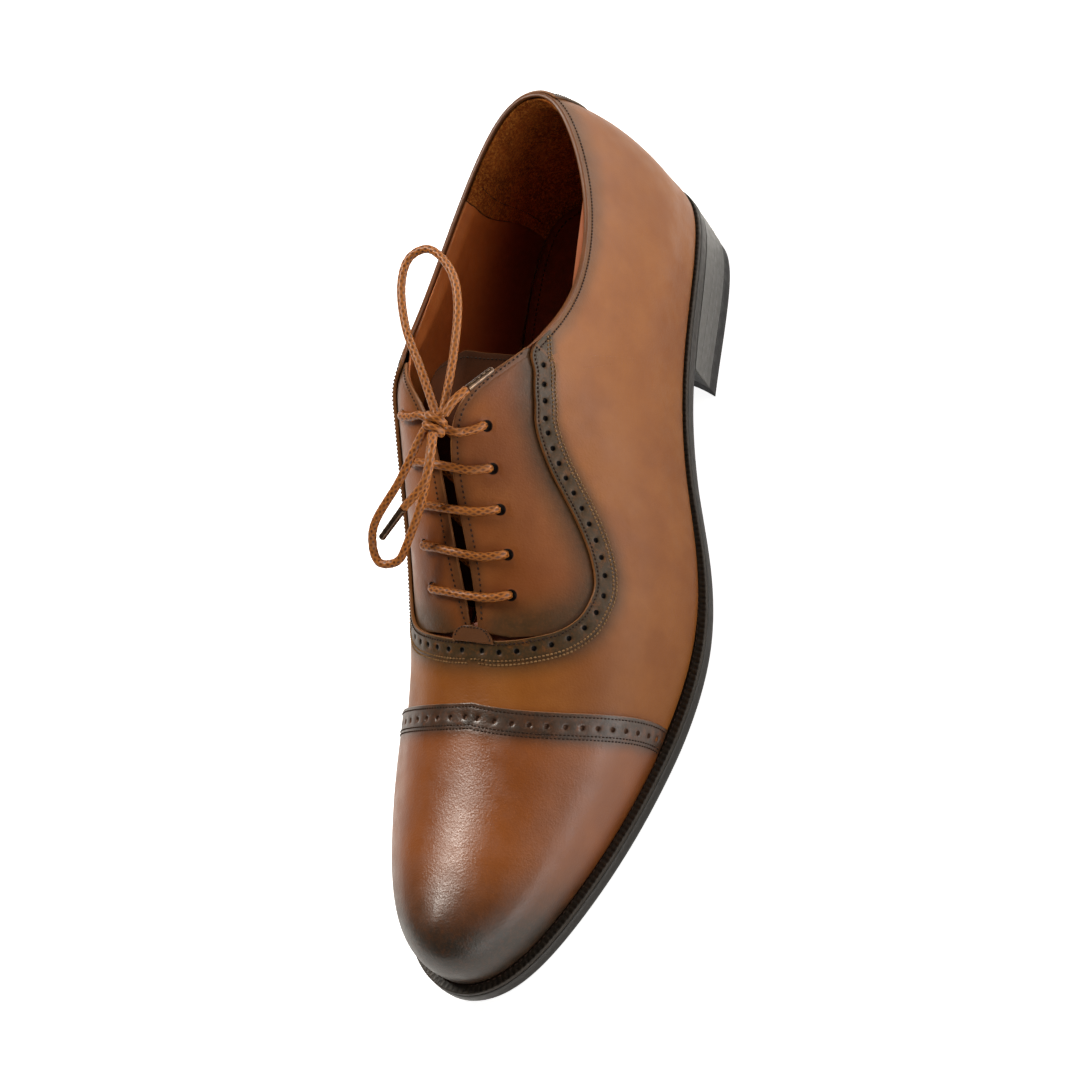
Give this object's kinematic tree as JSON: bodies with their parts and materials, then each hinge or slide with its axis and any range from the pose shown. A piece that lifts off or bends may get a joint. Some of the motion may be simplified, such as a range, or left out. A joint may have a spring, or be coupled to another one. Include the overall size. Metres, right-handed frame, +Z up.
{
  "type": "leather oxford shoe",
  "caption": "Men's left leather oxford with a toe cap, punched bands, closed lacing with a tied bow, leather lining, welted sole and stacked heel.",
  "frame": {"origin": "centre of the heel's ground face", "axes": "+Z up, -Y towards the toe, +X towards the outer side of the left foot"},
  "size_m": [0.1026, 0.3059, 0.1287],
  "materials": {
    "heel_rubber": "matte rubber",
    "heel_stack": "dyed and waxed leather stack",
    "brass": "plain brass",
    "sole_edge": "dyed and waxed edge, tan tread face",
    "welt_leather": "dark dyed, stitched",
    "cork": "ground cork",
    "steel": "spring steel strip",
    "insole_leather": "natural leather board",
    "sock_leather": "smooth reddish brown",
    "upper_leather": "smooth calf, mid tan, hand burnished",
    "facing_leather": "smooth calf, reddish tan",
    "dark_leather": "smooth calf, dark brown",
    "tongue_leather": "smooth, dark brown",
    "lining_leather": "smooth orange-brown lining",
    "suede": "napped",
    "stiffener": "moulded fibre board",
    "waxed_cord": "round waxed cotton cord",
    "aglet_film": "clear film over the cord"
  },
  "bodies": {
    "rear": {"heel_top_piece": "heel_rubber", "heel_lift_1": "heel_stack", "heel_lift_2": "heel_stack", "heel_seat_lift": "heel_stack", "heel_nails": "brass", "outsole_rear": "sole_edge", "welt": "welt_leather", "shank": "steel", "insole_rear": "insole_leather", "sock_liner": "sock_leather", "upper_body": "upper_leather", "facing_lateral": "facing_leather", "facing_medial": "facing_leather", "throat_tab": "facing_leather", "back_strip": "dark_leather", "topline_binding": "dark_leather", "heel_counter": "stiffener", "quarter_lining_lateral": "lining_leather", "quarter_lining_medial": "lining_leather", "heel_grip": "suede", "vamp_lining": "lining_leather", "eyelet_rings": "brass", "lace_bars": "waxed_cord", "lace_knot": "waxed_cord"},
    "forepart": {"outsole_forepart": "sole_edge", "insole_forepart": "insole_leather", "cork_filler": "cork", "toe_cap": "upper_leather", "toe_puff": "stiffener"},
    "tongue_body": {"tongue": "tongue_leather", "tongue_lining": "lining_leather"},
    "loop_up": {"bow_loop_up": "waxed_cord"},
    "loop_down": {"bow_loop_down": "waxed_cord"},
    "end_front": {"lace_end_front": "waxed_cord", "aglet_front": "aglet_film"},
    "end_back": {"lace_end_back": "waxed_cord", "aglet_back": "aglet_film"}
  },
  "joints": [
    {"name": "toe_flex", "type": "hinge", "parent": "rear", "child": "forepart", "pos_m": [0, -0.162, 0.0113], "axis": [-1, 0, 0], "range_deg": [0, 15], "stiffness_Nm_per_rad": 2, "deforming": ["upper_body", "welt", "sock_liner", "vamp_lining"]},
    {"name": "tongue_hinge", "type": "hinge", "parent": "rear", "child": "tongue_body", "pos_m": [-0.001, -0.157, 0.06], "axis": [1, 0, 0], "range_deg": [-15, 0], "stiffness_Nm_per_rad": 0.05},
    {"name": "loop_up_hinge", "type": "hinge", "parent": "rear", "child": "loop_up", "pos_m": [-0.002, -0.111, 0.112], "axis": [1, 0, 0], "range_deg": [-8, 9], "stiffness_Nm_per_rad": 0.01},
    {"name": "loop_down_hinge", "type": "hinge", "parent": "rear", "child": "loop_down", "pos_m": [-0.002, -0.111, 0.112], "axis": [-0.8, 0.6, 0], "range_deg": [-5, 8], "stiffness_Nm_per_rad": 0.01},
    {"name": "end_front_hinge", "type": "hinge", "parent": "rear", "child": "end_front", "pos_m": [-0.002, -0.111, 0.112], "axis": [-0.8, 0.6, 0], "range_deg": [-3, 25], "stiffness_Nm_per_rad": 0.01},
    {"name": "end_back_hinge", "type": "hinge", "parent": "rear", "child": "end_back", "pos_m": [-0.002, -0.111, 0.112], "axis": [1, 0, 0], "range_deg": [-3, 25], "stiffness_Nm_per_rad": 0.01}
  ]
}
